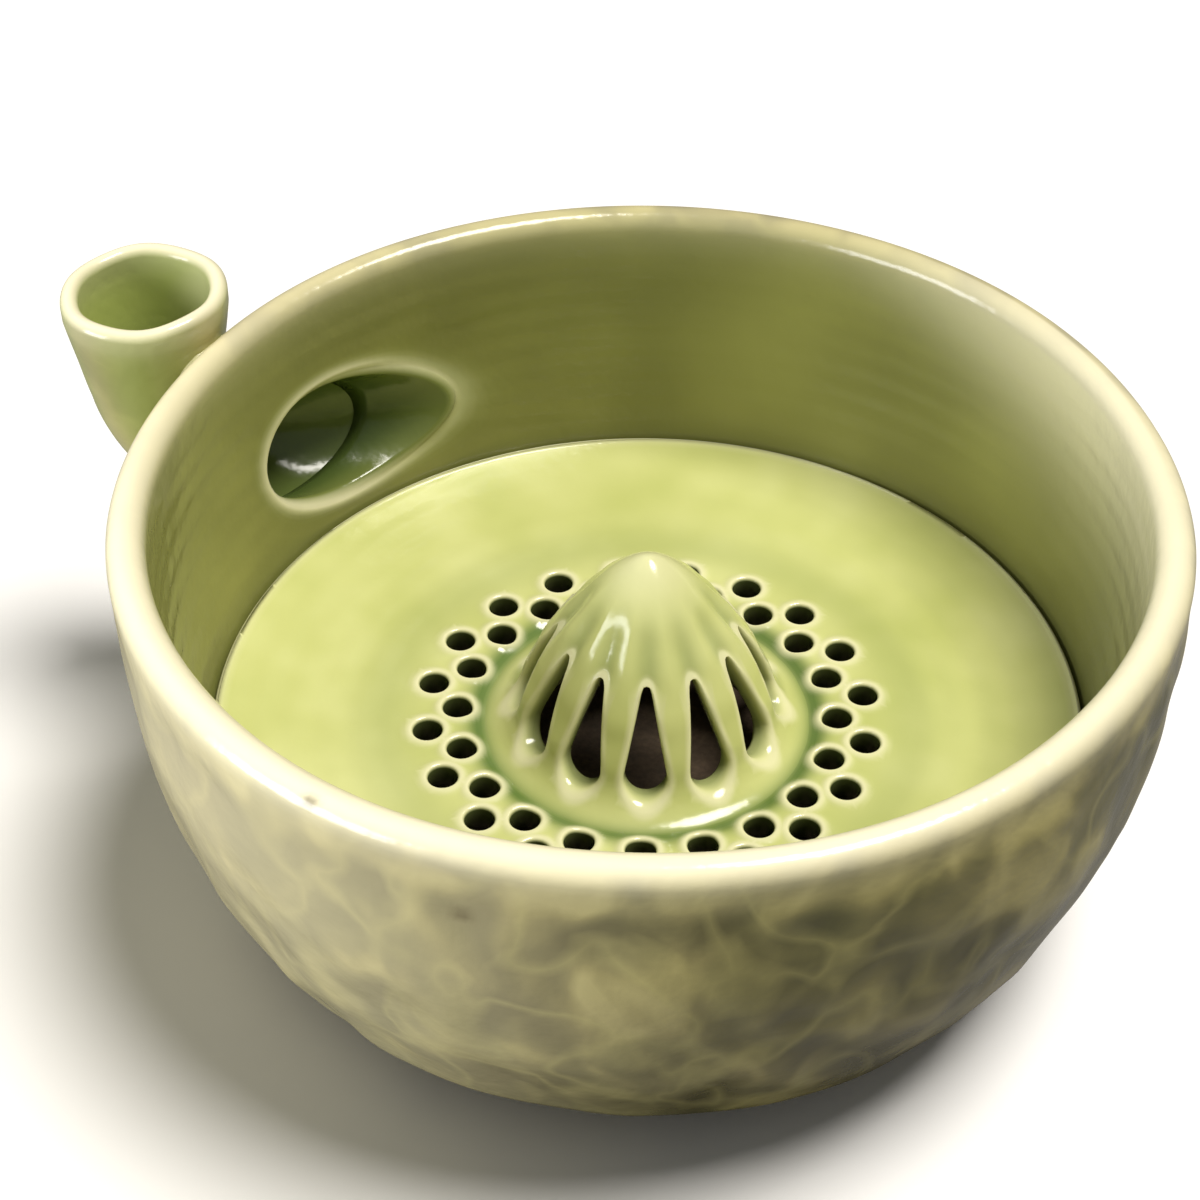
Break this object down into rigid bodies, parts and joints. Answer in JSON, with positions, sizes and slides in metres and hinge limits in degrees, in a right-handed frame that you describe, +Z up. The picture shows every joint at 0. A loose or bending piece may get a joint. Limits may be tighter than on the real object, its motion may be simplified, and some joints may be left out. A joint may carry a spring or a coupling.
{
  "type": "berry colander bowl",
  "caption": "Round stoneware washing bowl with a filling spout luted to its rim and a lift-out pierced strainer with a slotted cone, over a closed well.",
  "frame": {"origin": "middle of the foot ring's standing face, on the bowl's axis", "axes": "+Z up along the bowl's axis, -X towards the filling spout's cup"},
  "size_m": [0.2558, 0.219, 0.108],
  "materials": {
    "celadon_glaze": "glossy mottled olive celadon glaze over stoneware, pale cream where it runs thin on the rim",
    "pale_glaze": "glossy pale celadon glaze, darker green where it pools",
    "bare_clay": "bare dark iron-brown stoneware, matt"
  },
  "bodies": {
    "bowl": {"bowl_body": "celadon_glaze", "foot_ring": "bare_clay", "spout_cup": "celadon_glaze", "spout_bend": "celadon_glaze", "luting_strip": "celadon_glaze"},
    "strainer": {"strainer_plate": "pale_glaze", "strainer_cone": "pale_glaze"}
  },
  "joints": [
    {"name": "strainer_lift", "type": "slide", "parent": "bowl", "child": "strainer", "axis": [0, 0, 1], "range_m": [0, 0.08]}
  ]
}
